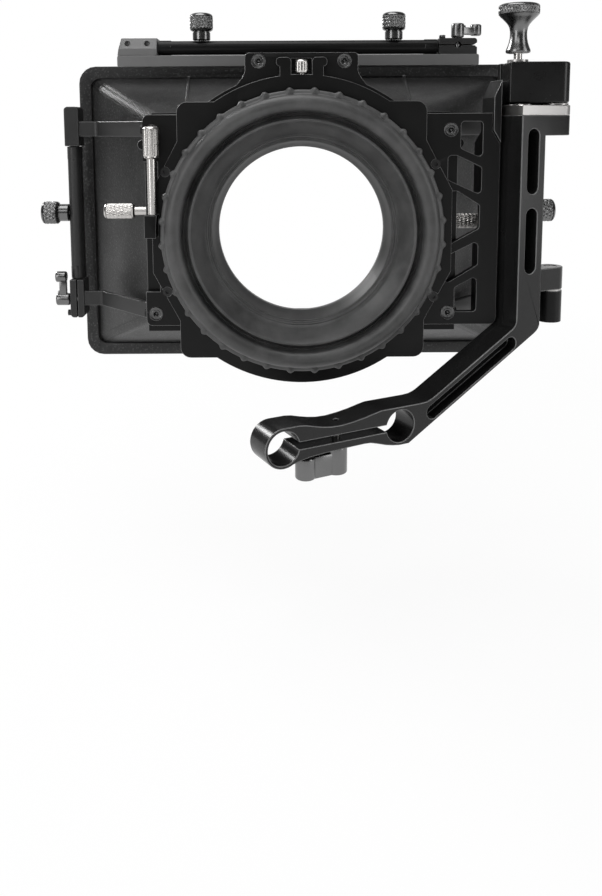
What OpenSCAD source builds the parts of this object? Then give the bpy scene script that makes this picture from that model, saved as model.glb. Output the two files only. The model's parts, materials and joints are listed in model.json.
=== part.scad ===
// A swing-away matte box for 15 mm rods.
// The lens axis is the Y axis, +Y points at the scene, +Z is up, and the origin is in the lens port.
// The arm is drawn swung from its closed place about the vertical hinge, and the rest stands square.

/* [Lens port] */
// Bore of the rubber donut that closes round the lens
port_d = 82; // [78:1:84]
// Length of the bore wall in the rubber
port_len = 4; // [3:0.5:5]
// Outside diameter of the rubber donut
donut_d = 138.8; // [134:0.2:140]
// Diameter of the raised sealing lip
lip_d = 108; // [106:1:110]
// Number of grip nubs round the donut
nub_count = 36; // [18:1:40]
// Radius of one grip nub
nub_r = 2.2; // [1.6:0.1:2.4]

/* [Ring plate] */
// Thickness of the plate that carries the donut
ring_t = 3.5; // [3:0.5:5]
// Radius of the plate's round part
ring_r = 75.5; // [74:0.5:76]
// Width over the plate's two flat sides
ring_w = 145.6; // [143:0.2:147]
// Width of the plate's square part
ring_sq_w = 120; // [112:1:124]
// Height of the plate's square part
ring_sq_h = 125.4; // [118:0.2:128]

/* [Mounting plate] */
// Thickness of the main plate
plate_t = 4; // [3:0.5:5]
// Height of the main plate
plate_h = 104; // [100:1:108]
// Height of the filter stages' centre over the lens axis
stage_rise = 4.8; // [3:0.1:6]
// Width of the tab that reaches up to the top bridge
tab_w = 54.4; // [48:0.4:60]

/* [Filter stages] */
// Width of the filter, 5.65 inch
filter_w = 143.5; // [140:0.5:144.5]
// Height of the filter, 4 inch
filter_h = 101.6; // [100:0.2:102]
// Thickness of the filter
filter_t = 4; // [3:0.5:5]
// Width of the tray's side rims
tray_rim = 2.2; // [2:0.1:3]
// Depth of each filter stage
stage_t = 15; // [14:0.5:18]
// Thickness of the stages' side walls and floors
stage_wall = 2.4; // [2:0.1:3]

/* [Hood] */
// Depth of the hood in front of the stages
hood_l = 67.5; // [55:0.5:90]
// Width over the hood's front lip
hood_w = 257.8; // [250:0.2:264]
// Height over the hood's front lip
hood_h = 174.7; // [168:0.1:178]
// Wall of the hood
hood_wall = 2.5; // [2:0.1:3.5]
// Width of the lip round the hood's front
lip_w = 6.4; // [5:0.2:8]

/* [Swing arm] */
// Angle that the arm is swung from its closed place
swing_deg = 27; // [20:1:32]
// Distance of the hinge from the lens axis
hinge_x = 125.6; // [124:0.2:128]
// Thickness of the arm
arm_t = 15; // [14:0.5:15]
// Width of the arm's column
column_w = 15; // [14:0.5:15.5]
// Width of the arm's slanting part
slant_w = 10.1; // [9.6:0.1:11]
// Angle of the slanting part below level
slant_deg = 30; // [28:0.5:33]
// Width of the column's two slots
slot_w = 7; // [5:0.2:8]

/* [Rod clamp] */
// Diameter of the rods
rod_d = 15; // [15:0.1:15.4]
// Spacing of the two rods
rod_pitch = 60; // [59:0.5:61]
// Height of the lens axis over the rods
rod_drop = 85; // [85:0.5:88]
// Wall round each rod
rod_wall = 1.5; // [1.4:0.1:2.2]

/* [Hinge] */
// Radius of the hinge pins
pin_r = 3; // [2.5:0.1:3.4]
// Thickness of the steel detent plate on the arm
detent_t = 4.8; // [4:0.1:6]
// Height of the hinge block on the box
block_h = 20; // [19:0.5:24]
// Radius of the lock pin
lock_r = 2; // [1.6:0.1:2.2]
// Widest diameter of the lock knob
knob_d = 19.6; // [17:0.2:21]
// Height of the lock knob
knob_h = 23.6; // [22:0.2:28]

/* [Flag holders] */
// Distance of the side flag bars from the lens axis
side_bar_x = 126; // [123:0.2:128]
// Place of the flag bars along the lens axis
bar_y = 60; // [57:0.5:63]
// Width of a flag bar
bar_w = 7.4; // [7:0.1:8]
// Gap for the flag's tongue
flag_gap = 1.4; // [1:0.1:2]
// Height of the top flag bar over the lens axis
top_bar_z = 94.1; // [93.7:0.1:94.6]
// Distance of each top thumbscrew from the middle
top_screw_x = 53.4; // [45:0.2:58]
// Diameter of a thumbscrew's head
screw_head_d = 12.8; // [11:0.2:14]
// Length of a thumbscrew's head
screw_head_l = 10; // [8:0.5:12]
// Thickness of the top bridge, and of the base bar on it
bridge_t = 6.1; // [5:0.1:6.5]

/* [Small screws] */
// Diameter of the two tray lock screws and the ring lock rod
grip_d = 7.6; // [6.6:0.2:8]
// Length of their knurled grips
grip_l = 15.2; // [13:0.2:17]
// Shank radius of the flat-head screws
flat_r = 1.5; // [1.2:0.1:1.8]
// Head radius of the flat-head screws
flat_head_r = 3.4; // [3:0.1:3.6]

/* [Hidden] */
$fn = 64;
running = 0.05;
slip = 0.3;
play = 0.5;
through = 0.2;

// Stations along the lens axis, from the rear
port_back = -3;
flange_t = 4;
bulge_r = 6.5;
plate_back = -9.5;
ring_back = plate_back - ring_t;
stage_back = plate_back + plate_t;
stage_mid = stage_back + stage_t;
hood_back = stage_mid + stage_t;
hood_flange_t = 3;
hood_front = hood_back + hood_l;
tray_t = filter_t + 2;
tray_slot = tray_t + 2 * slip;
rear_slot_y = stage_back + 7;
front_slot_y = stage_mid + 2;

// The donut's flange stands on the ring plate, and its neck goes through it
neck_r = 50.7;
ring_hole_r = neck_r + slip;
plate_hole_r = ring_hole_r + 0.5;
cone_r = port_d / 2 + 4;
stage_hole_r = cone_r + 0.8;
flange_back = ring_back - flange_t;

// Stage outline
tray_w = filter_w + 2 * (0.2 + tray_rim);
stage_w = tray_w + 2 * (slip / 2 + stage_wall);
stage_x = stage_w / 2;
filter_low = stage_rise - filter_h / 2;
filter_top = stage_rise + filter_h / 2;
tray_low = filter_low - tray_rim;
stage_low = tray_low - slip / 2 - stage_wall;
stage_top = filter_top + 0.4;
plate_low = stage_rise - plate_h / 2;
plate_top = stage_rise + plate_h / 2;

// Hinge and arm, in the arm's own frame: u along the arm, z up, hinge axis at u = 0
hinge_y = 0.3;
column_u = -28;
arm_top = 55.6;
lug_t = 9.8;
lug_reach = 5;
low_lug_top = -19.6;
low_lug_t = 11.2;
knuckle_r = 6;
knuckle_t = 16;
washer_t = 0.9;
detent_top = arm_top + detent_t;
block_low = detent_top + washer_t;
block_top = block_low + block_h;
lock_u = -19.4;
detent_screw_v = 3.7;
bend_z = -46;
rod_in_u = -hinge_x + rod_pitch / 2;
rod_out_u = -hinge_x - rod_pitch / 2;
rod_r = rod_d / 2 + running;
ear_r = rod_r + rod_wall;
slit_h = 3.2;
jaw_low = 5.5;
jaw_high = 5.75;
clamp_screw_r = 2;
clamp_screw_top = -rod_drop + jaw_high - 1.5;
bend_r = 5;
heel_r = 5.5;

// Hinge post on the box
post_x = 96.2;
web_x = 89;
wall_y = hinge_y + arm_t / 2 + 0.6;
wall_t = 5;
post_right = 123;
plate_right = post_x;
ear_x = 92.6;
ear_z = [42.5, 48.6, 64.2, 72.7];
ear_proud = 1.2;

// Flag bars
bar_d = 8;
bar_r = 4.2;
boss_l = 7;
trunnion_r = 2.5;
trunnion_l = 7;
strap_h = 8.3;
side_top = 62.1;
side_low = -57.1;
pivot_h = 21.8;
side_mid = (side_top + side_low) / 2;
strap_top = 49.7;
strap_low = -46.1;
block_w = 8;
block_d = 14;
bar_half = (side_top - side_low) / 2 - pivot_h - slip;
neck_d = 9.8;
top_neck_l = 4.9;
side_neck_l = 5.6;
base_top = top_bar_z - 4.5;
base_low = base_top - bridge_t;
bridge_low = base_low - bridge_t;
bridge_step = 2.2;
cheek_in = 77.6;
cheek_out = 98.3;
cheek_top = top_bar_z + 5.2;
clamp_top = top_bar_z + 4.2;
clamp_slit_z = top_bar_z + 0.5;
cheek_chamfer = [3, 5.9];
base_x = cheek_out + 1;
base_rear = bar_y - 8;
base_front = bar_y + 8;

// Colours
black = [0.07, 0.07, 0.075];
satin_black = [0.11, 0.11, 0.12];
plastic = [0.16, 0.16, 0.17];
rubber = [0.2, 0.2, 0.21];
steel = [0.75, 0.74, 0.72];
dark_steel = [0.35, 0.36, 0.37];

// Points of a polygon with its corners rounded by arcs of radius r
function unit(v) = v / norm(v);
function corner(a, b, c, r, n = 5) =
    let (p = unit(a - b), q = unit(c - b), half = acos(p * q) / 2,
         reach = r / tan(half), centre = b + unit(p + q) * (r / sin(half)),
         start = b + p * reach - centre, turn = sign(cross(p, q)) * (180 - 2 * half))
    [for (i = [0:n])
        let (t = -turn * i / n)
        centre + [start.x * cos(t) - start.y * sin(t), start.x * sin(t) + start.y * cos(t)]];
function rounded(p, r) =
    [for (i = [0:len(p) - 1]) each corner(p[(i + len(p) - 1) % len(p)], p[i], p[(i + 1) % len(p)], r)];
function box_points(x0, z0, x1, z1) = [[x0, z0], [x1, z0], [x1, z1], [x0, z1]];

// Upright plate: its outline is drawn in X and Z, from y0 forward by t
module upright(y0, t) {
    translate([0, y0 + t, 0]) rotate([90, 0, 0]) linear_extrude(height = t) children();
}

// Round bar or hole along Y
module along_y(x, z, r, y0, y1) {
    translate([x, y1, z]) rotate([90, 0, 0]) cylinder(r = r, h = y1 - y0);
}

// Round bar or hole along X
module along_x(y, z, r, x0, x1) {
    translate([x0, y, z]) rotate([0, 90, 0]) cylinder(r = r, h = x1 - x0);
}

// Ring turned about the lens axis from a profile of radius and y
module turned() {
    rotate([90, 0, 0]) mirror([0, 0, 1]) rotate_extrude($fn = 128) children();
}

// Block between two corners
module block(low, high) {
    translate(low) cube(high - low);
}

// Bar along X from x0 to x1, its section drawn in Y and Z
module lengthwise(x0, x1) {
    translate([x0, 0, 0]) rotate([90, 0, 90]) linear_extrude(height = x1 - x0) children();
}

// The arm's frame, carried to its place on the part
module in_arm() {
    translate([hinge_x, hinge_y, 0]) rotate([0, 0, swing_deg]) children();
}

// Flat-head screw that points along +Y, its head flush at y = 0, and the hole that it sits in
flat_cone = flat_head_r - flat_r;
module flat_screw(l) {
    difference() {
        union() {
            rotate([-90, 0, 0]) cylinder(r1 = flat_head_r, r2 = flat_r, h = flat_cone);
            rotate([-90, 0, 0]) cylinder(r = flat_r, h = l);
        }
        rotate([-90, 0, 0]) translate([0, 0, -through]) cylinder(r = 1.2, h = 1.4 + through, $fn = 6);
    }
}
module flat_hole(l) {
    rotate([-90, 0, 0]) cylinder(r1 = flat_head_r + running, r2 = flat_r + running, h = flat_cone);
    rotate([-90, 0, 0]) translate([0, 0, -through]) cylinder(r = flat_head_r + running, h = through + 0.01);
    rotate([-90, 0, 0]) cylinder(r = flat_r + running, h = l);
}

// Cap screw that points down -Z from its seat at z = 0
cap_r = 1.25;
cap_head_r = 2.3;
cap_head_h = 1.8;
plate_screw_l = 9.5;
ring_screw_l = 4.6;
stage_screw_l = 9.4;
hood_screw_l = 8;
bracket_screw_l = 5;
tab_screw_l = 13;
fixing_screw_l = 9.4;
cheek_screw_l = 7.4;
stop_screw_l = 5;
detent_screw_l = 9.5;
module cap_screw(l) {
    difference() {
        union() {
            cylinder(r = cap_head_r, h = cap_head_h);
            translate([0, 0, -l]) cylinder(r = cap_r, h = l + 0.1);
        }
        translate([0, 0, cap_head_h - 1]) cylinder(r = 1.1, h = 1.2, $fn = 6);
    }
}
module cap_hole(l) {
    translate([0, 0, -l - 0.3]) cylinder(r = cap_r + running, h = l + 0.3 + through);
}
// Small screw beside a clamp lever
module stop_screw() {
    cylinder(r = 1.7, h = 1.7);
    translate([0, 0, -stop_screw_l]) cylinder(r = cap_r, h = stop_screw_l + 0.1);
}

// Donut section, from the lens outwards
donut_r = donut_d / 2;
nub_high = 1.2;
body_r = donut_r - nub_high;
lip_r = lip_d / 2;
port_front = port_back + port_len;
lip_back = -23;
waist_r = 57;
flange_r = 60;
seat_out_r = 66.5;
groove_y = -20;
nub_y0 = flange_back - 5;
nub_y1 = flange_back - 0.5;

// Windows in the mounting plate's right side, as corner points in X and Z
windows = [
    [[77.2, 39.8], [87.7, 35.2], [87.7, 52.8], [77.2, 52.8]],
    [[71.2, 24.6], [87.5, 17.2], [87.5, 30.6], [75.5, 36.4], [71.2, 36.4]],
    [[71.4, -7.8], [86.9, 0.8], [86.9, 12.2], [76, 19.1], [71.4, 19.1]],
    [[70.3, -27.2], [86.5, -17.4], [86.5, -5.4], [70.3, -13.4]],
    [[75.4, -40.8], [86.2, -40.8], [86.2, -22.8], [75.4, -28.6]]];
window_round = 1.7;
plate_left = -77;
plate_waist = -70;
wing_z = [-30, 34];
crown_r = ring_r + 1.8;
crown_x = 60;
tab_top = base_low + 2.35;
tab_x = tab_w / 2;
tab_foot = [[4.3, plate_top - 8], [4.3, 70.4], [2.1, 73.2], [0.6, 75.5], [0, 77.3]];
tab_side = [for (p = tab_foot) [tab_x + p.x, p.y]];
tab_screw_x = 20.6;
tab_screw_z = base_low - 1.6;
plate_screw_x = filter_w / 2 + 0.55;
plate_screw_z = [48.8, -41.2];
notch_w = 9.6;
notch_h = 7.6;

// Corners of the ring plate, and the places of its screws
shoulder_z = 20;
corner_z = 44;
prong_in = 5;
prong_out = 12.2;
prong_top = 83.5;
prong_head = 4.4;
prong_step = 1.75;
ring_screws_at = [[ring_w / 2 - 8.2, 32.5], [6.8 - ring_w / 2, 29.4]];
seat_screw_r = 63.3;
seat_screw_count = 6;
knob_y = ring_back + ring_t / 2;
ring_knob_r = 3.4;
ring_knob_low = ring_r + slip;
ring_knob_top = ring_knob_low + 6.6;

// Long ring lock rod in its lug on the ring plate
rod_x = -donut_r - 2.4;
rod_y = ring_back - grip_d / 2 - slip;
rod_grip_low = 36;
lug_low = -2;
lug_high = 9;
lug_left = rod_x - 3.7;
lug_right = 6.8 - ring_w / 2;
rod_shank_r = 1.9;
rod_tip_r = 1.2;

// The clear view through the stages, and the trays' handles and locks
view_x = filter_w / 2 - 3.2;
view_low = filter_low;
view_high = filter_top - 3;
tray_top = filter_top + tray_rim;
handle_w = 44;
handle_h = 8.8;
handle_t = 4;
tray_side = tray_w / 2;
slot_x = tray_side + slip / 2;
slot_low = tray_low - slip / 2;
rear_tray_y = rear_slot_y + slip;
front_tray_y = front_slot_y + slip;
tray_lock_r = 1.5;
lock_neck_r = 2.2;
left_lock = [rear_tray_y + tray_t / 2, 8.8];
right_lock = [front_tray_y + tray_t / 2, 1.8];
left_grip_x = stage_x + 7.3;
right_grip_x = stage_x + 2.2;
ear_t = 5;
ear_round = 2.6;
side_ear = [stage_x + 2.5, 42];
low_ear = [40, stage_low - 2.5];

// Hood ends
hood_back_x = stage_x + 1.3;
hood_back_low = stage_low - 0.3;
hood_back_top = stage_top + 1;
hood_mid = -1.1;
hood_front_x = hood_w / 2 - lip_w;
hood_front_z = hood_h / 2 - lip_w;
hood_round = 6;
lip_round = 10;
lip_t = 3;
rib_x = 59.7;
rib_lean = 4;
rib_w = 1.4;
rib_h = 1.2;
hood_screw = [filter_w / 2 + 0.45, filter_h / 2 - 6.8];

// Hinge post, block and lock
block_left = 100.4;
block_right = hinge_x + 5.2;
block_back = 2 * hinge_y - wall_y;
block_round = 5;
wall_left = 99.9;
knuckle_top = low_lug_top - low_lug_t - washer_t;
knuckle_low = knuckle_top - knuckle_t;
web_shoulder = 42;
web_chamfer = 3;
window_low = -8;
window_high = 14;
window_x = right_grip_x + grip_l + 3.9;
post_screw_x = 92.8;
post_screw_z = [-38, -14, 20, 36];
post_screw_l = wall_y + wall_t - plate_back - 1;
block_screw_x = [104.4, 117.3];
block_screw_l = 8.6;
block_screw_z = (block_low + block_top) / 2;
pin_head_r = 4.5;
pin_head_h = 1.2;
lock_x = hinge_x + lock_u;
ledge = 5;
cavity_r = 3.8;
collar_r = 3.4;
collar_h = 2;
bush_l = 5;
bush_flange_r = 5;
bush_flange_t = 1.2;
stem_show = 4.4;
knob_rim = knob_h - 5.3;
knob_low = block_top + stem_show;
wire_r = 0.3;
spring_turns = 5;

// Clamp levers
hub_r = 3.5;
lobe_r = 3.1;
lever_l = 13;
lever_t = 7.7;
lobe_z = [1.6, 7.8];
web_z = [1.9, 5.8];
web_w = 3.6;
stud_r = 1.4;
stud_y = bar_y - 4.6;
stud_floor = 1.5;
slit = 0.6;
clamp_rear = bar_y - block_d / 2;
side_stud_z = side_low + 10.4;
side_stop_z = side_low + 2.6;
top_stud_x = 87.9;
top_stop_x = 79.5;
top_lever_turn = 29;
block_round_r = 2;
elbow_r = 3.5;
screw_r = 1.6;
strap_t = 3.2;
foot_y = stage_mid + 1.5;
foot_t = 3;
foot_end = foot_y + 8;
foot_screw_y = foot_y + 4;
elbow = [side_bar_x - 14, bar_y - 6];
cheek_hole_r = 1.45;
cheek_hole_x = [83.1, 93.8];
cheek_hole_z = top_bar_z + 2.1;
cheek_hole_end = bar_y - 3.2;
base_screw_x = 15;
rod_lever_l = 15.5;
rod_lever_low = -103.5;
rod_lever_h = 10.2;
pocket_w = 6.6;
pocket_d = 6;
pocket_lip = 1.1;
pocket_s = [7.2, 60.4];

// Swing arm
slant_n = [sin(slant_deg), -cos(slant_deg)];
slant_d = [-cos(slant_deg), -sin(slant_deg)];
column_right = column_u + column_w;
bend = [column_u, bend_z];
under = bend + slant_n * slant_w;
ear_low = -rod_drop - ear_r;
heel = [column_right, under.y + (column_right - under.x) * tan(slant_deg)];
low_corner = [under.x + (ear_low - under.y) / tan(slant_deg), ear_low];
function slant_at(t) = bend + slant_d * ((column_u - rod_in_u - t) / cos(slant_deg));

// Edges of the jaws: share of the rods' spacing from the inner rod, and distance from the rods' level
jaw_top = [[1, ear_r], [0.873, ear_r], [0.815, 8.6], [0.74, 7.4], [0.673, 6.5], [0.607, 5.9],
           [0.523, jaw_high], [0.423, 6.3], [0.323, 7.2], [0.23, 8.4], [0.17, ear_r], [-0.185, ear_r],
           [-0.243, 9.3], [-0.277, 9.9]];
jaw_under = [[0, ear_r], [0.065, 8.6], [0.127, 7.8], [0.207, 6.3], [0.267, 5.3], [0.323, 5.1], [0.423, 5.2],
             [0.5, 5.3], [0.667, 5.6], [0.787, 6.1], [0.847, 6.7], [0.89, 7.3], [1, ear_r]];
jaw_root_t = 18.6;

module slot_2d(z0, z1) {
    for (z = [z0, z1]) translate([column_u + column_w / 2, z]) circle(r = slot_w / 2);
    translate([column_u + column_w / 2 - slot_w / 2, z0]) square([slot_w, z1 - z0]);
}
module pocket_2d() {
    translate(bend + slant_n * (slant_w - pocket_lip - pocket_w / 2)) rotate([0, 0, 180 + slant_deg]) {
        for (s = pocket_s) translate([s, 0]) circle(r = pocket_w / 2);
        translate([pocket_s[0], -pocket_w / 2]) square([pocket_s[1] - pocket_s[0], pocket_w]);
    }
}
module arm_outline() {
    polygon(concat(
        [[column_u, arm_top]], corner([column_u, arm_top], bend, slant_at(0), bend_r),
        [slant_at(4), [rod_in_u, -rod_drop], [rod_in_u, ear_low], low_corner],
        corner(low_corner, heel, [column_right, arm_top], heel_r), [[column_right, arm_top]]));
    for (u = [rod_in_u, rod_out_u]) translate([u, -rod_drop]) circle(r = ear_r);
    polygon(concat(
        [for (p = jaw_top) [rod_in_u - p.x * rod_pitch, p.y - rod_drop]],
        [slant_at(jaw_root_t)],
        [for (p = jaw_under) [rod_in_u - p.x * rod_pitch, -p.y - rod_drop]]));
}
module low_lug() {
    low = low_lug_top - low_lug_t;
    translate([0, 0, low]) cylinder(r = knuckle_r, h = low_lug_t);
    block([column_right - 1, -knuckle_r, low], [0, knuckle_r, low_lug_top]);
}
// The arm's head reaches past the hinge axis, with its two end corners rounded
module head(u0, z0, t) {
    v = arm_t / 2 - lug_reach;
    for (s = [-v, v]) translate([0, s, z0]) cylinder(r = lug_reach, h = t);
    block([u0, -arm_t / 2, z0], [0, arm_t / 2, z0 + t]);
    block([0, -v, z0], [lug_reach, v, z0 + t]);
}
module detent_screw_places() {
    for (v = [-detent_screw_v, detent_screw_v])
        translate([column_u + 4.1, v, detent_top]) rotate([-90, 0, 0]) children();
}
module swing_arm() color(satin_black) in_arm() difference() {
    union() {
        upright(-arm_t / 2, arm_t) difference() {
            arm_outline();
            slot_2d(21.5, 45.6);
            slot_2d(-17.4, 7.5);
        }
        head(column_right - 1, arm_top - lug_t, lug_t);
        low_lug();
    }
    upright(-arm_t / 2 - through, pocket_d + through) pocket_2d();
    for (u = [rod_in_u, rod_out_u]) along_y(u, -rod_drop, rod_r, -arm_t, arm_t);
    block([rod_out_u, -arm_t, -rod_drop - slit_h / 2], [rod_in_u, arm_t, -rod_drop + slit_h / 2]);
    translate([-hinge_x, 0, ear_low])
        cylinder(r = clamp_screw_r + running, h = clamp_screw_top + slip - ear_low);
    translate([-hinge_x, 0, -rod_drop]) cylinder(r = 1, h = 2 * jaw_high);
    for (z = [arm_top - lug_t, low_lug_top - low_lug_t])
        translate([0, 0, z - through]) cylinder(r = pin_r + running, h = 12);
    detent_screw_places() flat_hole(detent_screw_l + slip);
}
module detent_plate() color(steel) in_arm() difference() {
    head(column_u, arm_top, detent_t);
    translate([0, 0, arm_top - through]) cylinder(r = pin_r + running, h = detent_t + 1);
    translate([lock_u, 0, arm_top - through]) cylinder(r = lock_r + slip, h = detent_t + 1);
    detent_screw_places() flat_hole(detent_screw_l + slip);
}
module detent_plate_screws() color(dark_steel) in_arm() detent_screw_places() flat_screw(detent_screw_l);
module rod_clamp_screw() color(steel) in_arm() translate([-hinge_x, 0, rod_lever_low + 3])
    cylinder(r = clamp_screw_r, h = clamp_screw_top - rod_lever_low - 3);
module rod_clamp_lever() color(dark_steel) in_arm() translate([-hinge_x, 0, rod_lever_low]) difference() {
    union() {
        cylinder(r = 5.2, h = -rod_drop - jaw_low - slip - rod_lever_low);
        translate([-rod_lever_l, 0, 0]) cylinder(r = 4.6, h = rod_lever_h);
        translate([-rod_lever_l, -3.5, 0]) cube([rod_lever_l, 7, rod_lever_h]);
    }
    translate([0, 0, 2.5]) cylinder(r = clamp_screw_r + running, h = 20);
}

// Plates
module mounting_plate() color(black) difference() {
    upright(plate_back, plate_t) difference() {
        union() {
            polygon(rounded(box_points(plate_left, plate_low, plate_right, plate_top), 3));
            polygon(concat(
                tab_side, corner([tab_x, 0], [tab_x, tab_top], [0, tab_top], 2),
                corner([0, tab_top], [-tab_x, tab_top], [-tab_x, 0], 2),
                [for (i = [len(tab_side) - 1:-1:0]) [-tab_side[i].x, tab_side[i].y]]));
            intersection() {
                circle(r = crown_r, $fn = 128);
                polygon(box_points(-crown_x, 0, crown_x, tab_top));
            }
        }
        for (w = windows) polygon(rounded(w, window_round));
        translate([-notch_w / 2, ring_r]) square([notch_w, notch_h]);
        polygon(box_points(plate_left - 1, wing_z[0], plate_waist, wing_z[1]));
        polygon([[plate_right + 1, ear_z[0] - 2 - slip], [ear_x - slip, ear_z[1] - slip],
                 [ear_x - slip, plate_top + 1], [plate_right + 1, plate_top + 1]]);
    }
    along_y(0, 0, plate_hole_r, plate_back - 1, stage_back + 1);
    plate_screw_places() flat_hole(plate_screw_l + slip);
    tab_screw_places() flat_hole(tab_screw_l + slip);
    ring_screw_places() cap_hole(ring_screw_l);
    post_screw_places() flat_hole(post_screw_l + 0.3);
}
module plate_screw_places() {
    for (x = [-plate_screw_x, plate_screw_x], z = plate_screw_z) translate([x, plate_back, z]) children();
}
module plate_screws() color(dark_steel) plate_screw_places() flat_screw(plate_screw_l);
module ring_screw_places() {
    for (p = ring_screws_at, s = [-1, 1])
        translate([p.x, ring_back + cap_head_h, s * p.y]) rotate([90, 0, 0]) children();
}
module seat_screw_places() {
    for (i = [0:seat_screw_count - 1]) rotate([0, i * 360 / seat_screw_count, 0])
        translate([seat_screw_r, flange_back + cap_head_h + 0.1, 0]) rotate([90, 0, 0]) children();
}
module ring_outline() {
    intersection() {
        circle(r = ring_r, $fn = 128);
        polygon([
            for (s = [[1, 1], [-1, 1], [-1, -1], [1, -1]])
                each s.x * s.y > 0
                    ? [[s.x * ring_w / 2, s.y * shoulder_z], [s.x * ring_sq_w / 2, s.y * corner_z],
                       [s.x * ring_sq_w / 2, s.y * 80]]
                    : [[s.x * ring_sq_w / 2, s.y * 80], [s.x * ring_sq_w / 2, s.y * corner_z],
                       [s.x * ring_w / 2, s.y * shoulder_z]]]);
    }
    polygon(rounded(box_points(-ring_sq_w / 2, -ring_sq_h / 2, ring_sq_w / 2, ring_sq_h / 2), 5));
    for (s = [-1, 1]) {
        polygon(rounded(box_points(s * prong_in, prong_top - prong_head, s * prong_out, prong_top), 2));
        polygon(box_points(s * prong_in, ring_r - 4,
                           s * (prong_out - prong_step), prong_top - prong_head / 2));
    }
}
module ring_plate() color(black) difference() {
    union() {
        upright(ring_back, ring_t) ring_outline();
        block([lug_left, rod_y - 3.4, lug_low], [lug_right, ring_back + 1, lug_high]);
    }
    along_y(0, 0, ring_hole_r, ring_back - 1, plate_back + 1);
    along_y(0, 0, donut_r + 0.6, rod_y - 5, ring_back);
    translate([rod_x, rod_y, lug_low + 1.2]) cylinder(r = rod_tip_r + running, h = lug_high - lug_low);
    translate([0, knob_y, ring_r - 5.5]) cylinder(r = cap_r + running, h = 8);
    ring_screw_places() cap_hole(ring_screw_l);
    ring_screw_places() cylinder(r = cap_head_r + running, h = 3);
    seat_screw_places() cap_hole(ring_screw_l);
}
module ring_plate_screws() color(dark_steel) ring_screw_places() cap_screw(ring_screw_l);
module ring_lock_knob() color(steel) translate([0, knob_y, 0]) {
    translate([0, 0, ring_knob_low]) cylinder(r = ring_knob_r, h = ring_knob_top - ring_knob_low);
    translate([0, 0, ring_r - 5.3]) cylinder(r = cap_r, h = 6);
}
module ring_lock_rod() color(steel) translate([rod_x, rod_y, 0]) {
    translate([0, 0, rod_grip_low]) cylinder(r = grip_d / 2, h = grip_l);
    translate([0, 0, lug_high + slip]) cylinder(r = rod_shank_r, h = rod_grip_low - lug_high);
    translate([0, 0, lug_low + 1.5]) cylinder(r = rod_tip_r, h = lug_high - lug_low);
}
module donut_seat_ring() color(satin_black) difference() {
    turned() polygon([
        [flange_r + running, ring_back], [seat_out_r, ring_back], [seat_out_r, flange_back],
        [waist_r + running, flange_back], [waist_r + running, ring_back - flange_t / 2],
        [flange_r + running, ring_back - flange_t / 2]]);
    seat_screw_places() cap_hole(ring_screw_l);
    seat_screw_places() cylinder(r = cap_head_r + running, h = 3);
}
module seat_ring_screws() color(dark_steel) seat_screw_places() cap_screw(ring_screw_l);
module rubber_donut() color(rubber) {
    turned() polygon(concat(
        [[port_d / 2, port_back], [port_d / 2, port_front], [cone_r, port_front],
         [cone_r, stage_back - slip], [neck_r, stage_back - slip], [neck_r, ring_back],
         [flange_r, ring_back], [flange_r, ring_back - flange_t / 2],
         [waist_r, ring_back - flange_t / 2], [waist_r, flange_back - slip],
         [body_r, flange_back - slip]],
        [for (a = [0:15:150]) [body_r - bulge_r + bulge_r * cos(a), flange_back - 1 - bulge_r * sin(a)]],
        [[waist_r - 1, groove_y], [lip_r + 0.4, groove_y], [lip_r + 0.3, lip_back + 0.5],
         [lip_r - 0.2, lip_back], [lip_r - 0.8, lip_back + 0.3], [cone_r - 0.6, port_back - 7],
         [cone_r - 1.6, port_back - 6]]));
    for (i = [0:nub_count - 1]) rotate([0, i * 360 / nub_count, 0])
        along_y(donut_r - nub_r, 0, nub_r, nub_y0, nub_y1);
}

// Filter stages
module stage_screw_places() {
    for (s = [-1, 1], p = [side_ear, low_ear])
        translate([s * p.x, stage_mid + ear_t, p.y]) rotate([-90, 0, 0]) children();
}
module ears(y0) {
    for (s = [-1, 1]) {
        block([s > 0 ? stage_x - 1 : -side_ear.x, y0, side_ear.y - ear_round],
              [s > 0 ? side_ear.x : 1 - stage_x, y0 + ear_t, side_ear.y + ear_round]);
        block([s * low_ear.x - ear_round, y0, low_ear.y],
              [s * low_ear.x + ear_round, y0 + ear_t, stage_low + 1]);
        for (p = [side_ear, low_ear]) along_y(s * p.x, p.y, ear_round, y0, y0 + ear_t);
    }
}
module stage_body(y0, slot_y) {
    difference() {
        block([-stage_x, y0, stage_low], [stage_x, y0 + stage_t, stage_top]);
        block([-slot_x, slot_y, slot_low], [slot_x, slot_y + tray_slot, stage_top + 1]);
        block([-view_x, slot_y, view_low], [view_x, y0 + stage_t + 1, view_high]);
    }
}
module rear_stage() color(black) difference() {
    union() {
        stage_body(stage_back, rear_slot_y);
        ears(stage_mid - ear_t);
    }
    along_y(0, 0, stage_hole_r, stage_back - 1, rear_slot_y + 1);
    plate_screw_places() flat_hole(plate_screw_l + slip);
    stage_screw_places() cap_hole(stage_screw_l);
    along_x(left_lock.x, left_lock.y, tray_lock_r + running, -stage_x - 1, -slot_x + 1);
}
module front_stage() color(black) difference() {
    union() {
        stage_body(stage_mid, front_slot_y);
        ears(stage_mid);
    }
    block([-view_x, stage_mid - 1, view_low], [view_x, front_slot_y + 1, view_high]);
    stage_screw_places() cap_hole(stage_screw_l);
    hood_screw_places() cap_hole(hood_screw_l);
    bracket_screw_places() cap_hole(bracket_screw_l);
    along_x(right_lock.x, right_lock.y, tray_lock_r + running, slot_x - 1, stage_x + 1);
}
module stage_screws() color(dark_steel) stage_screw_places() cap_screw(stage_screw_l);
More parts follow.
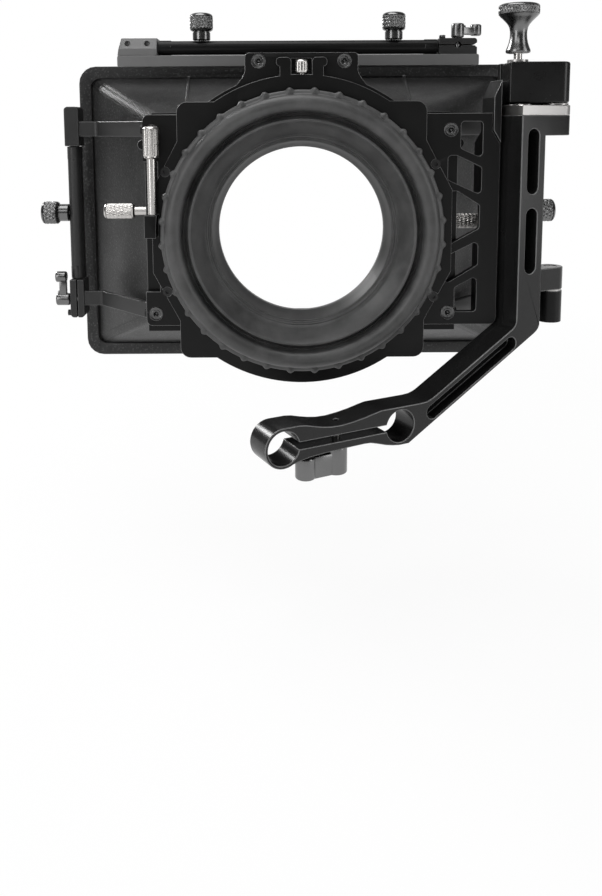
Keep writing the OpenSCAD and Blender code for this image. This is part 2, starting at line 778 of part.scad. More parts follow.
module tray(y0) {
    difference() {
        block([-tray_side, y0, tray_low], [tray_side, y0 + tray_t, tray_top]);
        block([-filter_w / 2 - 0.2, y0 - 1, filter_low - 0.05],
              [filter_w / 2 + 0.2, y0 + filter_t + 0.2, filter_top + 0.05]);
        block([-view_x, y0, view_low + 1], [view_x, y0 + tray_t + 1, view_high]);
    }
}
module tray_handle(y0) {
    upright(y0 + (tray_t - handle_t) / 2, handle_t)
        polygon(rounded(box_points(-handle_w / 2, tray_top, handle_w / 2, tray_top + handle_h), 2.5));
}
module rear_tray() color(satin_black) tray(rear_tray_y);
module front_tray() color(satin_black) tray(front_tray_y);
module rear_tray_handle() color(plastic) tray_handle(rear_tray_y);
module front_tray_handle() color(plastic) tray_handle(front_tray_y);
module tray_lock(p, grip_x) {
    along_x(p.x, p.y, tray_lock_r, tray_side + slip, grip_x);
    along_x(p.x, p.y, lock_neck_r, stage_x + slip, grip_x);
    along_x(p.x, p.y, grip_d / 2, grip_x, grip_x + grip_l);
}
module left_tray_lock() color(steel) mirror([1, 0, 0]) tray_lock(left_lock, left_grip_x);
module right_tray_lock() color(steel) tray_lock(right_lock, right_grip_x);

// Hood
module hood_slab(y, inset) {
    back = [hood_back_x - inset, hood_back_low + inset, hood_back_top - inset];
    front = [hood_front_x - inset, hood_mid - hood_front_z + inset, hood_mid + hood_front_z - inset];
    size = y > hood_back ? front : back;
    upright(y, 0.02) polygon(rounded(box_points(-size.x, size.y, size.x, size.z), hood_round));
}
module hood_form(inset) {
    hull() {
        hood_slab(hood_back - (inset > 0 ? 0.02 : 0), inset);
        hood_slab(hood_front - (inset > 0 ? 0 : 0.02), inset);
    }
}
module hood_screw_places() {
    for (s = [-1, 1], t = [-1, 1])
        translate([s * hood_screw.x, hood_back + hood_flange_t, stage_rise + t * hood_screw.y])
            rotate([-90, 0, 0]) children();
}
module hood_rib(x) {
    slope = (hood_mid + hood_front_z - hood_back_top) / hood_l;
    y0 = hood_back + 6;
    y1 = hood_front - lip_t + 1;
    z0 = hood_back_top + slope * (y0 - hood_back);
    z1 = hood_back_top + slope * (y1 - hood_back);
    translate([x, y0, 0]) rotate([0, 0, x > 0 ? -rib_lean : rib_lean]) translate([0, -y0, 0])
        lengthwise(-rib_w / 2, rib_w / 2)
            polygon([[y0, z0 - 0.6], [y1, z1 - 0.6], [y1, z1 + rib_h], [y0 + 1, z0 + rib_h]]);
}
module hood() color(plastic) difference() {
    union() {
        difference() {
            hood_form(0);
            hood_form(hood_wall);
        }
        upright(hood_back, hood_flange_t)
            polygon(rounded(box_points(1 - hood_back_x, hood_back_low + 1,
                                       hood_back_x - 1, hood_back_top - 1), hood_round - 1));
        upright(hood_front - lip_t, lip_t) difference() {
            polygon(rounded(box_points(-hood_w / 2, hood_mid - hood_h / 2,
                                       hood_w / 2, hood_mid + hood_h / 2), lip_round));
            polygon(rounded(box_points(0.8 - hood_front_x, hood_mid - hood_front_z + 0.8,
                                       hood_front_x - 0.8, hood_mid + hood_front_z - 0.8), hood_round - 1));
        }
        for (x = [-rib_x, rib_x]) hood_rib(x);
    }
    block([-view_x - 1, hood_back - 1, view_low - 1],
          [view_x + 1, hood_back + hood_flange_t + 1, view_high + 1]);
    hood_screw_places() cap_hole(hood_screw_l);
}
module hood_screws() color(dark_steel) hood_screw_places() cap_screw(hood_screw_l);

// Hinge post, hinge block and lock
module post_screw_places() {
    for (z = post_screw_z) translate([post_screw_x, wall_y + wall_t, z]) rotate([0, 0, 180]) children();
}
module block_screw_places() {
    for (x = block_screw_x) translate([x, wall_y + wall_t, block_screw_z]) rotate([0, 0, 180]) children();
}
module web_window() {
    polygon(box_points(web_x - 1, window_low, window_x, window_high));
}
module hinge_post() color(black) difference() {
    union() {
        upright(wall_y, wall_t) difference() {
            polygon([[web_x, plate_low], [post_right, plate_low], [post_right, block_top],
                     [wall_left, block_top], [wall_left, ear_z[3]], [post_x, ear_z[3]],
                     [ear_x, ear_z[2]], [ear_x, ear_z[1]], [web_x, web_shoulder]]);
            web_window();
        }
        upright(stage_back, wall_y - stage_back + 1) difference() {
            polygon([[web_x, plate_low], [post_x - web_chamfer, plate_low],
                     [post_x, plate_low + web_chamfer], [post_x, ear_z[1]], [ear_x, ear_z[1]],
                     [web_x, web_shoulder]]);
            web_window();
        }
        upright(plate_back - ear_proud, wall_y - plate_back + ear_proud + 1)
            polygon([[post_x, ear_z[0]], [post_x, ear_z[3]], [ear_x, ear_z[2]], [ear_x, ear_z[1]]]);
        translate([hinge_x, hinge_y, knuckle_low]) cylinder(r = knuckle_r, h = knuckle_t);
        block([hinge_x - knuckle_r, hinge_y, knuckle_low],
              [hinge_x + knuckle_r, wall_y + wall_t, knuckle_top]);
    }
    translate([hinge_x, hinge_y, knuckle_low + 2]) cylinder(r = pin_r + running, h = knuckle_t);
    post_screw_places() flat_hole(post_screw_l + slip);
    block_screw_places() flat_hole(block_screw_l + slip);
}
module post_screws() color(dark_steel) post_screw_places() flat_screw(post_screw_l);
module hinge_block() color(satin_black) difference() {
    union() {
        block([block_left, block_back, block_low], [block_right - block_round, wall_y, block_top]);
        block([hinge_x - 1, block_back + block_round, block_low],
              [block_right, wall_y - block_round, block_top]);
        for (y = [block_back + block_round, wall_y - block_round])
            translate([block_right - block_round, y, block_low]) cylinder(r = block_round, h = block_h);
    }
    translate([hinge_x, hinge_y, block_low - 1]) cylinder(r = pin_r + running, h = block_h + 2);
    translate([hinge_x, hinge_y, block_top - pin_head_h]) cylinder(r = pin_head_r + running, h = 3);
    translate([lock_x, hinge_y, block_low - 1]) cylinder(r = lock_r + running, h = block_h);
    translate([lock_x, hinge_y, block_low + ledge]) cylinder(r = cavity_r, h = block_h);
    block_screw_places() flat_hole(block_screw_l + slip);
}
module block_screws() color(dark_steel) block_screw_places() flat_screw(block_screw_l);
module upper_hinge_pin() color(steel) translate([hinge_x, hinge_y, 0]) difference() {
    union() {
        translate([0, 0, arm_top - lug_t]) cylinder(r = pin_r, h = block_top - arm_top + lug_t - 1);
        translate([0, 0, block_top - pin_head_h + running]) cylinder(r = pin_head_r, h = pin_head_h);
    }
    translate([0, 0, block_top - 1]) cylinder(r = 1.6, h = 2, $fn = 6);
}
module lower_hinge_pin() color(steel)
    translate([hinge_x, hinge_y, knuckle_low + 2.1]) cylinder(r = pin_r, h = low_lug_top - knuckle_low - 2.4);
module hinge_washers() color(steel) translate([hinge_x, hinge_y, 0]) difference() {
    union() {
        translate([0, 0, detent_top + 0.1]) cylinder(r = knuckle_r, h = washer_t - 0.1);
        translate([0, 0, knuckle_top]) cylinder(r = knuckle_r - 0.4, h = washer_t - 0.1);
    }
    translate([0, 0, knuckle_top - 1]) cylinder(r = pin_r + running, h = detent_top - knuckle_top + 3);
}
module lock_bush() color(steel) translate([lock_x, hinge_y, 0]) difference() {
    union() {
        translate([0, 0, block_top - bush_l]) cylinder(r = cavity_r - running, h = bush_l);
        translate([0, 0, block_top]) cylinder(r = bush_flange_r, h = bush_flange_t);
    }
    translate([0, 0, block_top - bush_l - 1]) cylinder(r = lock_r + running, h = bush_l + 4);
}
module lock_pin() color(steel) translate([lock_x, hinge_y, 0]) {
    translate([0, 0, detent_top + slip]) cylinder(r = lock_r, h = knob_low + 8 - detent_top - slip);
    translate([0, 0, block_low + ledge + slip]) cylinder(r = collar_r, h = collar_h);
}
spring_low = block_low + ledge + slip + collar_h + wire_r + 0.05;
spring_high = block_top - bush_l - wire_r - 0.05;
spring_r = lock_r + wire_r + 0.5;
spring_pitch = (spring_high - spring_low) / spring_turns;
function ring_points(t) = [for (k = [0:5])
    let (turn = t * 360, a = k * 60, r = spring_r + wire_r * cos(a))
    [r * cos(turn), r * sin(turn), spring_low + spring_pitch * t + wire_r * sin(a)]];
module lock_spring() color(steel) translate([lock_x, hinge_y, 0]) {
    rings = spring_turns * 16;
    points = [for (i = [0:rings]) each ring_points(i / 16)];
    sides = [for (i = [0:rings - 1], k = [0:5])
        let (a = i * 6 + k, b = i * 6 + (k + 1) % 6)
        each [[a, a + 6, b], [b, a + 6, b + 6]]];
    ends = [for (k = [1:4]) each [[0, k, k + 1], [rings * 6, rings * 6 + k + 1, rings * 6 + k]]];
    polyhedron(points, concat(sides, ends));
}
module lock_knob() color(dark_steel) translate([lock_x, hinge_y, knob_low]) difference() {
    rotate_extrude() polygon([
        [0, 0], [5.9, 0], [5.6, 1.8], [4.6, 5], [4.05, 8], [4.05, 10], [4.5, 12.5], [6.4, 15],
        [knob_d / 2 - 1.2, knob_rim - 0.9], [knob_d / 2, knob_rim], [knob_d / 2, knob_h - 1.1],
        [knob_d / 2 - 0.9, knob_h - 0.3], [7, knob_h], [0, knob_h]]);
    translate([0, 0, -1]) cylinder(r = lock_r + running, h = 9.2);
}

// Top flag holder
module tab_screw_places() {
    for (x = [-tab_screw_x, tab_screw_x]) translate([x, plate_back, tab_screw_z]) children();
}
module base_screw_places() {
    for (x = [-base_screw_x, base_screw_x]) translate([x, bar_y, bridge_low]) rotate([180, 0, 0]) children();
}
fixing_x = [-cheek_out + 4.6, -cheek_in - 4.6, cheek_in + 4.6, cheek_out - 4.6];
module fixing_screw_places() {
    for (x = fixing_x) translate([x, bar_y - 4.4, base_low + cap_head_h + 0.1])
        rotate([180, 0, 0]) children();
}
module top_bridge() color(satin_black) difference() {
    union() {
        block([-tab_x, stage_back, bridge_low], [tab_x, base_front, base_low]);
        block([-tab_x, stage_back, base_low - 1], [tab_x, base_rear, base_low + bridge_step]);
    }
    tab_screw_places() flat_hole(tab_screw_l + slip);
    base_screw_places() cap_hole(fixing_screw_l);
}
module top_base_bar() color(satin_black) difference() {
    upright(base_rear, base_front - base_rear)
        polygon(rounded(box_points(-base_x, base_low, base_x, base_top), 1));
    base_screw_places() cap_hole(fixing_screw_l);
    fixing_screw_places() cap_hole(cheek_screw_l);
    fixing_screw_places() cylinder(r = cap_head_r + running, h = 3);
}
module top_fixing_screws() color(dark_steel) {
    tab_screw_places() flat_screw(tab_screw_l);
    base_screw_places() cap_screw(fixing_screw_l);
    fixing_screw_places() cap_screw(cheek_screw_l);
    top_stop_place() stop_screw();
}
module top_stop_place() {
    translate([top_stop_x, stud_y, clamp_top]) children();
}
module cheek_body(x0, x1) {
    rear = bar_y - block_d / 2;
    lengthwise(x0, x1) polygon([
        [rear, base_top], [bar_y + block_d / 2, base_top], [bar_y + block_d / 2, cheek_top],
        [rear + cheek_chamfer.x, cheek_top], [rear, cheek_top - cheek_chamfer.y]]);
}
module top_cheek() color(satin_black) difference() {
    intersection() {
        cheek_body(-base_x, -cheek_in);
        upright(base_rear, base_front - base_rear)
            polygon([[-base_x, base_top], [-cheek_in, base_top], [-cheek_in, cheek_top],
                     [0.8 - cheek_out, cheek_top], [0.6 - base_x, cheek_top - cheek_chamfer.y]]);
    }
    along_x(bar_y, top_bar_z, trunnion_r + running, -cheek_in - trunnion_l - 0.6, 1 - cheek_in);
    for (x = cheek_hole_x) along_y(-x, cheek_hole_z, cheek_hole_r, base_rear, cheek_hole_end);
    fixing_screw_places() cap_hole(cheek_screw_l);
}
module top_clamp_block() color(satin_black) difference() {
    upright(clamp_rear, block_d) polygon(concat(
        [[cheek_in, clamp_top], [cheek_in, base_top], [cheek_out, base_top]],
        corner([cheek_out, base_top], [cheek_out, clamp_top], [cheek_in, clamp_top], 1.5)));
    along_x(bar_y, top_bar_z, trunnion_r + running, cheek_in - 1, cheek_in + trunnion_l + 0.6);
    block([cheek_in - 1, clamp_rear - 1, clamp_slit_z - slit / 2],
          [cheek_out + 1, bar_y, clamp_slit_z + slit / 2]);
    along_y(cheek_out, clamp_slit_z, 1.1, clamp_rear - 1, base_front);
    along_y(top_stud_x, clamp_slit_z, 1.8, clamp_rear - 1, stud_y);
    translate([top_stud_x, stud_y, base_top + stud_floor - 0.5]) cylinder(r = stud_r + running, h = block_d);
    top_stop_place() cap_hole(stop_screw_l);
    fixing_screw_places() cap_hole(cheek_screw_l);
}

// A flag bar lies along Z here, its slot opens to +Y, and its thumbscrews point to +X
module flag_bar(l, places) {
    difference() {
        union() {
            intersection() {
                block([-bar_w / 2, -bar_d / 2, -l / 2], [bar_w / 2, bar_d / 2, l / 2]);
                translate([0, 0, -l / 2]) cylinder(r = bar_r, h = l);
            }
            for (z = [-l / 2, l / 2 - boss_l]) translate([0, 0, z]) cylinder(r = bar_r, h = boss_l);
            translate([0, 0, -l / 2 - trunnion_l]) cylinder(r = trunnion_r, h = l + 2 * trunnion_l);
        }
        block([-flag_gap / 2, -1, -l / 2 - 0.01], [flag_gap / 2, bar_d, l / 2 + 0.01]);
        for (z = places) along_x(0, z, screw_r + running, 1.2 - bar_w / 2, bar_w);
    }
}
module thumbscrew(neck) {
    seat = bar_w / 2 + slip;
    along_x(0, 0, screw_r, 1.4 - bar_w / 2, seat + 1);
    along_x(0, 0, neck_d / 2, seat, seat + neck);
    along_x(0, 0, screw_head_d / 2, seat + neck, seat + neck + screw_head_l);
}
// Clamp lever, its hub seated at z = 0 and its stud reaching down
module lever(stud) {
    cylinder(r = hub_r, h = lever_t);
    translate([lever_l, 0, lobe_z[0]]) cylinder(r = lobe_r, h = lobe_z[1] - lobe_z[0]);
    translate([0, -web_w / 2, web_z[0]]) cube([lever_l, web_w, web_z[1] - web_z[0]]);
    translate([0, 0, -stud]) cylinder(r = stud_r, h = stud + 1);
}
top_bar_l = 2 * (cheek_in - slip);
module in_top_bar(x) {
    translate([x, bar_y, top_bar_z]) rotate([0, -90, 0]) children();
}
module top_flag_bar() color(satin_black) in_top_bar(0) flag_bar(top_bar_l, [-top_screw_x, top_screw_x]);
module top_left_screw() color(dark_steel) in_top_bar(-top_screw_x) thumbscrew(top_neck_l);
module top_right_screw() color(dark_steel) in_top_bar(top_screw_x) thumbscrew(top_neck_l);
module top_clamp_lever() color(dark_steel) translate([top_stud_x, stud_y, clamp_top + slip])
    rotate([0, 0, top_lever_turn]) lever(clamp_top + slip - base_top - stud_floor);

// Side flag holders, drawn on the right and mirrored to the left
block_in = side_bar_x - block_w / 2;
block_out = side_bar_x + block_w / 2;

// The strap runs from its foot on the stage's side, slants out past the hood and meets the pivot block
module strap() {
    foot = [stage_x + foot_t, foot_end];
    run = unit(elbow - foot);
    shift = strap_t * [-run.y, run.x];
    tilt = run.y / run.x;
    back_y = foot.y + shift.y - (foot.x + shift.x - stage_x) * tilt;
    back_x = foot.x + shift.x + (elbow.y + strap_t - foot.y - shift.y) / tilt;
    polygon(concat(
        [[stage_x, foot_y], [foot.x, foot_y], foot], corner(foot, elbow, [block_in, elbow.y], elbow_r),
        [[block_in + 1, elbow.y], [block_in + 1, elbow.y + strap_t], [back_x, elbow.y + strap_t],
         [stage_x, back_y]]));
}
// The pivot block's two corners away from the flag bar are rounded
module bracket(near_z, far_z, strap_z) {
    upright(clamp_rear, block_d) polygon(concat(
        [[block_in, near_z], [block_out, near_z]],
        corner([block_out, near_z], [block_out, far_z], [block_in, far_z], block_round_r),
        corner([block_out, far_z], [block_in, far_z], [block_in, near_z], block_round_r)));
    translate([0, 0, strap_z - strap_h / 2]) linear_extrude(height = strap_h) strap();
}
module upper_bracket() {
    difference() {
        bracket(side_top - pivot_h, side_top, strap_top);
        translate([side_bar_x, bar_y, side_top - pivot_h - 1])
            cylinder(r = trunnion_r + running, h = trunnion_l + 1.6);
        bracket_screw_places() cap_hole(bracket_screw_l);
    }
}
module lower_bracket() {
    difference() {
        bracket(side_low + pivot_h, side_low, strap_low);
        translate([side_bar_x, bar_y, side_low + pivot_h - trunnion_l - 0.6])
            cylinder(r = trunnion_r + running, h = trunnion_l + 1.6);
        block([side_bar_x - slit / 2, clamp_rear - 1, side_low - 1],
              [side_bar_x + slit / 2, bar_y, side_low + pivot_h + 1]);
        along_x(stud_y, side_stud_z, stud_r + running, block_in + 1, block_out + 1);
        side_stop_place() cap_hole(stop_screw_l);
        bracket_screw_places() cap_hole(bracket_screw_l);
    }
}
module bracket_screw_places() {
    for (s = [0, 1], z = [strap_top, strap_low]) mirror([s, 0, 0])
        translate([stage_x + foot_t, foot_screw_y, z]) rotate([0, 90, 0]) children();
}
module side_stop_place() {
    translate([block_out, stud_y, side_stop_z]) rotate([0, 90, 0]) children();
}
module bracket_screws() color(dark_steel) {
    bracket_screw_places() cap_screw(bracket_screw_l);
    for (s = [0, 1]) mirror([s, 0, 0]) side_stop_place() stop_screw();
}
module side_bar() {
    translate([side_bar_x, bar_y, side_mid]) flag_bar(2 * bar_half, [0]);
}
module side_screw() {
    translate([side_bar_x, bar_y, side_mid]) thumbscrew(side_neck_l);
}
module side_lever() {
    translate([block_out + slip, stud_y, side_stud_z]) rotate([0, 90, 0]) rotate([0, 0, 180])
        lever(block_w + slip - stud_floor);
}
module left_upper_bracket() color(satin_black) mirror([1, 0, 0]) upper_bracket();
module left_lower_bracket() color(satin_black) mirror([1, 0, 0]) lower_bracket();
module left_flag_bar() color(satin_black) mirror([1, 0, 0]) side_bar();
module left_flag_screw() color(dark_steel) mirror([1, 0, 0]) side_screw();
module left_clamp_lever() color(dark_steel) mirror([1, 0, 0]) side_lever();
module right_upper_bracket() color(satin_black) upper_bracket();
module right_lower_bracket() color(satin_black) lower_bracket();
module right_flag_bar() color(satin_black) side_bar();
module right_flag_screw() color(dark_steel) side_screw();
module right_clamp_lever() color(dark_steel) side_lever();

swing_arm();
detent_plate();
detent_plate_screws();
rod_clamp_screw();
rod_clamp_lever();
mounting_plate();
plate_screws();
ring_plate();
ring_plate_screws();
ring_lock_knob();
ring_lock_rod();
donut_seat_ring();
seat_ring_screws();
rubber_donut();
rear_stage();
front_stage();
rear_tray();
front_tray();
rear_tray_handle();
front_tray_handle();
stage_screws();
left_tray_lock();
right_tray_lock();
hood();
hood_screws();
hinge_post();
post_screws();
hinge_block();
block_screws();
upper_hinge_pin();
lower_hinge_pin();
hinge_washers();
lock_knob();
lock_pin();
lock_spring();
lock_bush();
top_bridge();
top_base_bar();
top_cheek();
top_clamp_block();
top_fixing_screws();
top_flag_bar();
top_left_screw();
top_right_screw();
top_clamp_lever();
left_upper_bracket();
left_lower_bracket();
left_flag_bar();
left_flag_screw();
left_clamp_lever();
right_upper_bracket();
right_lower_bracket();
right_flag_bar();
right_flag_screw();
right_clamp_lever();
bracket_screws();
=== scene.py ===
import json
import math

import bmesh
import bpy
from mathutils import Matrix, Vector


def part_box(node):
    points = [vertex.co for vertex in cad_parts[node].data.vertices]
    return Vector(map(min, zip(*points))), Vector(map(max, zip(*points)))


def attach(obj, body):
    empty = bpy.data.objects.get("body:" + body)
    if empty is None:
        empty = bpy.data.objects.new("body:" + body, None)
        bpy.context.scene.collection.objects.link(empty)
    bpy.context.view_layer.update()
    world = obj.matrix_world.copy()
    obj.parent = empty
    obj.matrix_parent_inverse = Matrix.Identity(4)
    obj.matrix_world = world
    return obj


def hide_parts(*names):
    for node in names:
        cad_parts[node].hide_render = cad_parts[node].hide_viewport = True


MM = 0.001
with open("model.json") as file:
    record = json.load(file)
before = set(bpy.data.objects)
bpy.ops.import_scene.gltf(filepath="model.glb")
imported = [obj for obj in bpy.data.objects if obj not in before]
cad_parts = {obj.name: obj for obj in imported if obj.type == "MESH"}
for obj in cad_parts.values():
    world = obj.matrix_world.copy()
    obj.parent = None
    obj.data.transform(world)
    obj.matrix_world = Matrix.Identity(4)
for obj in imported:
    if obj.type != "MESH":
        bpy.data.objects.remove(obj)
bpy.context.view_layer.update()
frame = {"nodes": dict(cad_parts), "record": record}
record = frame["record"]
body_of = {node: body for body, nodes in record["behaviour"]["bodies"].items() for node in nodes}

# Lengths shared with the CAD, in millimetres
swing = math.radians(27)
hinge_x = 125.6
hinge = Vector((hinge_x, 0.3, 0)) * MM
lens_bore = 41

# Camera, at the photograph's angle
photo_height = 896
focal_pixels = 860
camera_data = bpy.data.cameras.new("camera")
camera_data.sensor_width = 36
camera_data.lens = camera_data.sensor_width * focal_pixels / photo_height
camera_data.shift_x = 0.0279
camera_data.shift_y = -0.241
camera_data.clip_start = 0.01
camera = bpy.data.objects.new("camera", camera_data)
camera.location = (-0.0126, -0.4279, 0.0523)
camera.rotation_euler = (
    Matrix.Rotation(math.radians(90 - 7.2), 4, "X") @ Matrix.Rotation(math.radians(-0.3), 4, "Z")
).to_euler()
bpy.context.scene.collection.objects.link(camera)
bpy.context.scene.camera = camera
bpy.context.scene.view_settings.view_transform = "Standard"


# Studio
def softbox(name, place, target, size, power):
    """A large soft lamp that faces the target."""
    data = bpy.data.lights.new(name, "AREA")
    data.shape = "RECTANGLE"
    data.size = size[0]
    data.size_y = size[1]
    data.energy = power
    lamp = bpy.data.objects.new(name, data)
    lamp.location = place
    lamp.rotation_euler = (Vector(target) - Vector(place)).to_track_quat("-Z", "Y").to_euler()
    bpy.context.scene.collection.objects.link(lamp)


softbox("lamp_top", (-0.15, -0.1, 1.0), (0, 0.02, 0), (0.9, 0.7), 7.5)
softbox("lamp_left", (-0.8, -0.8, 0.35), (0, 0, 0), (0.45, 0.9), 4.4)
softbox("lamp_right", (0.95, -0.5, 0.3), (0.1, 0, 0), (0.35, 0.9), 3.0)
softbox("lamp_rear", (-0.25, -1.15, 0.75), (0, 0, 0), (0.6, 0.35), 1.8)
softbox("lamp_corner", (-0.77, 0.59, 0.56), (-0.1, 0.05, 0.06), (0.3, 0.3), 7.5)


def background_rays(tree, ahead=None):
    """How far a ray is one that shows the white background: seen directly, reflected or through glass."""
    paths = tree.nodes.new("ShaderNodeLightPath")
    reflected = paths.outputs["Is Glossy Ray"]
    if ahead is not None:
        share = tree.nodes.new("ShaderNodeMath")
        share.operation = "MULTIPLY"
        tree.links.new(reflected, share.inputs[0])
        tree.links.new(ahead, share.inputs[1])
        reflected = share.outputs[0]
    total = paths.outputs["Is Camera Ray"]
    for ray in (reflected, paths.outputs["Is Transmission Ray"]):
        more = tree.nodes.new("ShaderNodeMath")
        more.operation = "MAXIMUM"
        tree.links.new(total, more.inputs[0])
        tree.links.new(ray, more.inputs[1])
        total = more.outputs[0]
    return total


def white_world():
    """White behind the object and in its reflections ahead, with a dim studio behind the camera."""
    world = bpy.data.worlds.new("studio")
    world.use_nodes = True
    tree = world.node_tree
    tree.nodes.clear()
    place = tree.nodes.new("ShaderNodeTexCoord")
    split = tree.nodes.new("ShaderNodeSeparateXYZ")
    tree.links.new(place.outputs["Generated"], split.inputs[0])
    levels = []
    for start, end, low, high in ((-0.5, 0.5, 0.05, 0.16), (0.6, 0.95, 0.0, 1.0)):
        ramp = tree.nodes.new("ShaderNodeMapRange")
        ramp.inputs["From Min"].default_value = start
        ramp.inputs["From Max"].default_value = end
        ramp.inputs["To Min"].default_value = low
        ramp.inputs["To Max"].default_value = high
        tree.links.new(split.outputs["Y"], ramp.inputs["Value"])
        levels.append(ramp.outputs["Result"])
    room, ahead = levels
    level = tree.nodes.new("ShaderNodeMix")
    tree.links.new(background_rays(tree, ahead), level.inputs["Factor"])
    tree.links.new(room, level.inputs["A"])
    level.inputs["B"].default_value = 1.0
    sky = tree.nodes.new("ShaderNodeBackground")
    sky.inputs["Color"].default_value = (1, 1, 1, 1)
    tree.links.new(level.outputs["Result"], sky.inputs["Strength"])
    out = tree.nodes.new("ShaderNodeOutputWorld")
    tree.links.new(sky.outputs[0], out.inputs[0])
    bpy.context.scene.world = world


white_world()


# Shared shader groups
def make_group(name, inputs, outputs):
    """A shader node group with its sockets, and the two nodes that carry them."""
    tree = bpy.data.node_groups.new(name, "ShaderNodeTree")
    for label, kind, value in inputs:
        tree.interface.new_socket(label, in_out="INPUT", socket_type=kind).default_value = value
    for label, kind in outputs:
        tree.interface.new_socket(label, in_out="OUTPUT", socket_type=kind)
    return tree, tree.nodes.new("NodeGroupInput"), tree.nodes.new("NodeGroupOutput")


def noise(tree, scale, detail, rough=0.5):
    """A noise texture on the object's own coordinates, with its scale from a socket."""
    place = tree.nodes.new("ShaderNodeTexCoord")
    texture = tree.nodes.new("ShaderNodeTexNoise")
    texture.inputs["Detail"].default_value = detail
    texture.inputs["Roughness"].default_value = rough
    tree.links.new(place.outputs["Object"], texture.inputs["Vector"])
    tree.links.new(scale, texture.inputs["Scale"])
    return texture.outputs["Fac"]


def grain_group():
    """Fine surface grain: a normal, and the height mask that it comes from."""
    tree, put, out = make_group(
        "surface_grain",
        [("Scale", "NodeSocketFloat", 2000.0), ("Depth", "NodeSocketFloat", 0.00002)],
        [("Normal", "NodeSocketVector"), ("Mask", "NodeSocketFloat")],
    )
    height = noise(tree, put.outputs["Scale"], 2.0)
    bump = tree.nodes.new("ShaderNodeBump")
    bump.inputs["Strength"].default_value = 1.0
    tree.links.new(height, bump.inputs["Height"])
    tree.links.new(put.outputs["Depth"], bump.inputs["Distance"])
    tree.links.new(bump.outputs["Normal"], out.inputs["Normal"])
    tree.links.new(height, out.inputs["Mask"])
    return tree


def tone_group():
    """Slow changes of colour and roughness over a surface, as dust and handling leave them."""
    tree, put, out = make_group(
        "surface_tone",
        [
            ("Colour", "NodeSocketColor", (0.5, 0.5, 0.5, 1)),
            ("Dusty", "NodeSocketColor", (0.6, 0.6, 0.6, 1)),
            ("Amount", "NodeSocketFloat", 0.2),
            ("Scale", "NodeSocketFloat", 30.0),
            ("Roughness", "NodeSocketFloat", 0.5),
            ("Spread", "NodeSocketFloat", 0.1),
        ],
        [("Colour", "NodeSocketColor"), ("Roughness", "NodeSocketFloat")],
    )
    patch = noise(tree, put.outputs["Scale"], 5.0, 0.62)
    sharper = tree.nodes.new("ShaderNodeMapRange")
    sharper.inputs["From Min"].default_value = 0.38
    sharper.inputs["From Max"].default_value = 0.68
    tree.links.new(patch, sharper.inputs["Value"])
    share = tree.nodes.new("ShaderNodeMath")
    share.operation = "MULTIPLY"
    tree.links.new(sharper.outputs["Result"], share.inputs[0])
    tree.links.new(put.outputs["Amount"], share.inputs[1])
    mix = tree.nodes.new("ShaderNodeMix")
    mix.data_type = "RGBA"
    tree.links.new(share.outputs[0], mix.inputs["Factor"])
    tree.links.new(put.outputs["Colour"], mix.inputs["A"])
    tree.links.new(put.outputs["Dusty"], mix.inputs["B"])
    tree.links.new(mix.outputs["Result"], out.inputs["Colour"])
    step = tree.nodes.new("ShaderNodeMath")
    step.operation = "MULTIPLY_ADD"
    tree.links.new(sharper.outputs["Result"], step.inputs[0])
    tree.links.new(put.outputs["Spread"], step.inputs[1])
    tree.links.new(put.outputs["Roughness"], step.inputs[2])
    tree.links.new(step.outputs[0], out.inputs["Roughness"])
    return tree


GRAIN = grain_group()
TONE = tone_group()


def use_group(tree, group, **values):
    """Places a shader group in a material with its own values."""
    node = tree.nodes.new("ShaderNodeGroup")
    node.node_tree = group
    for label, value in values.items():
        node.inputs[label].default_value = value
    return node


def grey(level, warm=0.0):
    """A near-neutral colour with its alpha."""
    return (level * (1 + warm), level, level * (1 - warm), 1)


def material(name, colour, dusty, rough, amount=0.3, patch=35, spread=0.08, grain=2500, depth=0.01,
             metallic=0.0, specular=0.5, painted_glint=0.0):
    """A finish with slow tone changes, a fine grain and, if asked, painted glints: a lighter colour on the
    grain's crests. Depth is in mm.
    """
    finish = bpy.data.materials.new(name)
    finish.use_nodes = True
    tree = finish.node_tree
    shader = tree.nodes["Principled BSDF"]
    tone = use_group(tree, TONE, Colour=colour, Dusty=dusty, Amount=amount, Scale=patch, Roughness=rough,
                     Spread=spread)
    surface = use_group(tree, GRAIN, Scale=grain, Depth=depth * MM)
    colour_out = tone.outputs["Colour"]
    # Painted glints: the grain's crests take a lighter colour, standing in for the sparkle that light raises
    # on the grain
    if painted_glint:
        crest = tree.nodes.new("ShaderNodeMapRange")
        crest.inputs["From Min"].default_value = 0.57
        crest.inputs["From Max"].default_value = 0.7
        tree.links.new(surface.outputs["Mask"], crest.inputs["Value"])
        mix = tree.nodes.new("ShaderNodeMix")
        mix.data_type = "RGBA"
        tree.links.new(crest.outputs["Result"], mix.inputs["Factor"])
        tree.links.new(colour_out, mix.inputs["A"])
        mix.inputs["B"].default_value = grey(painted_glint)
        colour_out = mix.outputs["Result"]
    tree.links.new(colour_out, shader.inputs["Base Color"])
    tree.links.new(tone.outputs["Roughness"], shader.inputs["Roughness"])
    tree.links.new(surface.outputs["Normal"], shader.inputs["Normal"])
    shader.inputs["Metallic"].default_value = metallic
    shader.inputs["Specular IOR Level"].default_value = specular
    return finish


